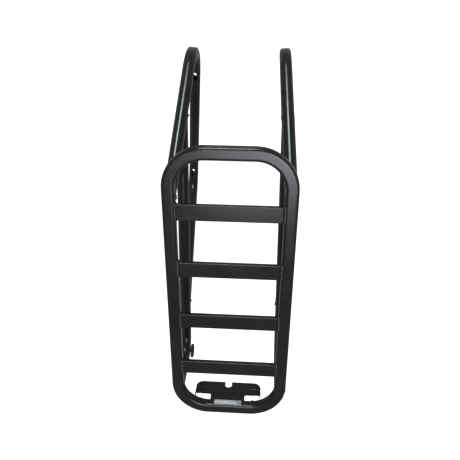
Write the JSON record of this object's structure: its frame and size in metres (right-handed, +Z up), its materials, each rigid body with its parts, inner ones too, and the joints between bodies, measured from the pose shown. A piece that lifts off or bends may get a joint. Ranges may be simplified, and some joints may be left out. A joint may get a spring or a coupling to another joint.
{
  "type": "bicycle luggage rack",
  "caption": "Welded tube luggage rack for a small-wheeled folding bicycle, with a flat barred deck, bent side legs, pannier rails and a rear light bracket.",
  "frame": {"origin": "midway between the two rear mounting slots, over the wheel axle, on the legs' centrelines", "axes": "+Y towards the front of the bicycle, along the deck; +Z up, square to the deck; +X to the rider's right"},
  "size_m": [0.183, 0.4831, 0.3176],
  "materials": {
    "frame_black": "satin powder coat",
    "weld_black": "satin powder coat over weld bead",
    "label_silver": "satin"
  },
  "bodies": {
    "root": {"deck_loop": "frame_black", "crossbar_1": "frame_black", "crossbar_2": "frame_black", "crossbar_3": "frame_black", "crossbar_4": "frame_black", "leg_tube_left": "frame_black", "leg_tube_right": "frame_black", "pannier_rail_left": "frame_black", "pannier_rail_right": "frame_black", "strap_eye": "frame_black", "rear_light_bracket": "frame_black", "label_plate": "label_silver", "cable_hook": "frame_black", "crossbar_welds": "weld_black", "front_strut_welds": "weld_black", "pannier_front_welds": "weld_black", "rear_strut_welds": "weld_black", "pannier_rear_welds": "weld_black", "strap_eye_welds": "weld_black", "bracket_weld": "weld_black"}
  },
  "joints": []
}
